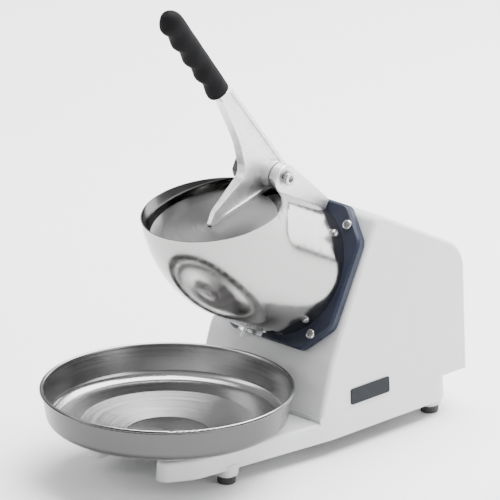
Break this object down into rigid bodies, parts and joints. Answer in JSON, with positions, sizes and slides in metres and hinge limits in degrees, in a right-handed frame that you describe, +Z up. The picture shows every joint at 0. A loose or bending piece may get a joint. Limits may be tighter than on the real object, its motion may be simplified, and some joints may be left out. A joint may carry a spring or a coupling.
{
  "type": "shaved ice machine",
  "caption": "Counter-top electric ice shaver: light grey motor housing on a footed tray, polished elbow hopper, hand lever with pusher plate, spinning cutter disc and loose catch bowl.",
  "frame": {"origin": "on the counter, under the middle of the object's bounding box", "axes": "+Z up, front of the machine towards -Y, +X to the right of the machine seen from the front"},
  "size_m": [0.24, 0.4488, 0.4519],
  "materials": {
    "shell_plastic": "light grey, fine satin",
    "sheet_steel": "plain zinc-grey sheet",
    "bright_fixings": "bright plated",
    "dark_plastic": "black, fine grain",
    "plate_badge": "dark, plain",
    "dark_enamel": "dark blue-grey, semi-gloss",
    "seal_rubber": "black",
    "foot_rubber": "black, matte",
    "polished_steel": "polished stainless",
    "satin_steel": "spun satin stainless",
    "cast_alloy": "grained casting",
    "tool_steel": "ground",
    "core_iron": "laminated, dull",
    "winding_copper": "lacquered copper wire",
    "bush_brass": "turned",
    "can_aluminium": "drawn can",
    "grip_rubber": "black, matte"
  },
  "bodies": {
    "machine": {"base_tray": "shell_plastic", "bottom_cover": "sheet_steel", "cover_screws": "bright_fixings", "housing_screws": "bright_fixings", "foot_screws": "bright_fixings", "housing_shell": "shell_plastic", "name_plate": "plate_badge", "adaptor_plate": "dark_enamel", "plate_gasket": "seal_rubber", "plate_screws": "bright_fixings", "hopper": "polished_steel", "hopper_screws": "bright_fixings", "chute_lip": "satin_steel", "chute_screw": "bright_fixings", "chute_nut": "bright_fixings", "hinge_bracket": "cast_alloy", "bracket_rivets": "bright_fixings", "pivot_bolt": "bright_fixings", "pivot_washers": "bright_fixings", "pivot_nut": "bright_fixings", "interlock_case": "dark_plastic", "interlock_screws": "tool_steel", "motor_bracket": "sheet_steel", "front_bell": "cast_alloy", "rear_bell": "cast_alloy", "front_bearing": "tool_steel", "rear_bearing": "tool_steel", "stator_core": "core_iron", "stator_windings": "winding_copper", "tie_bolts": "bright_fixings", "shaft_seal": "seal_rubber", "run_capacitor": "can_aluminium", "capacitor_clip": "sheet_steel", "terminal_block": "dark_plastic", "switch_body": "dark_plastic", "cord_gland": "dark_plastic", "foot_front_left": "foot_rubber", "foot_front_right": "foot_rubber", "foot_rear_left": "foot_rubber", "foot_rear_right": "foot_rubber"},
    "lever": {"lever_arm": "cast_alloy", "pivot_bush": "bush_brass", "lever_grip": "grip_rubber", "pusher_plate": "satin_steel", "pusher_screws": "bright_fixings"},
    "cutter": {"cutter_disc": "cast_alloy", "knife_a": "tool_steel", "knife_b": "tool_steel", "knife_screws": "bright_fixings", "hub_nut": "bright_fixings", "drive_shaft": "tool_steel", "rotor_core": "core_iron", "cooling_fan": "dark_plastic"},
    "bowl": {"catch_bowl": "satin_steel"},
    "rocker": {"switch_rocker": "dark_plastic"},
    "plunger": {"interlock_plunger": "tool_steel"}
  },
  "joints": [
    {"name": "lever_pivot", "type": "hinge", "parent": "machine", "child": "lever", "pos_m": [0, 0.02942, 0.26299], "axis": [1, 0, 0], "range_deg": [-80, 56]},
    {"name": "cutter_spin", "type": "hinge", "parent": "machine", "child": "cutter", "pos_m": [0, 0.05755, 0.1621], "axis": [0, -0.8902, 0.4555], "continuous": true},
    {"name": "bowl_slide", "type": "slide", "parent": "machine", "child": "bowl", "axis": [0, -1, 0], "range_m": [-0.01, 0.15]},
    {"name": "rocker_tilt", "type": "hinge", "parent": "machine", "child": "rocker", "pos_m": [-0.055, 0.21335, 0.092], "axis": [1, 0, 0], "range_deg": [0, 18]},
    {"name": "plunger_press", "type": "slide", "parent": "machine", "child": "plunger", "axis": [-1, 0, 0], "range_m": [0, 0.002], "stiffness_N_per_m": 400}
  ]
}
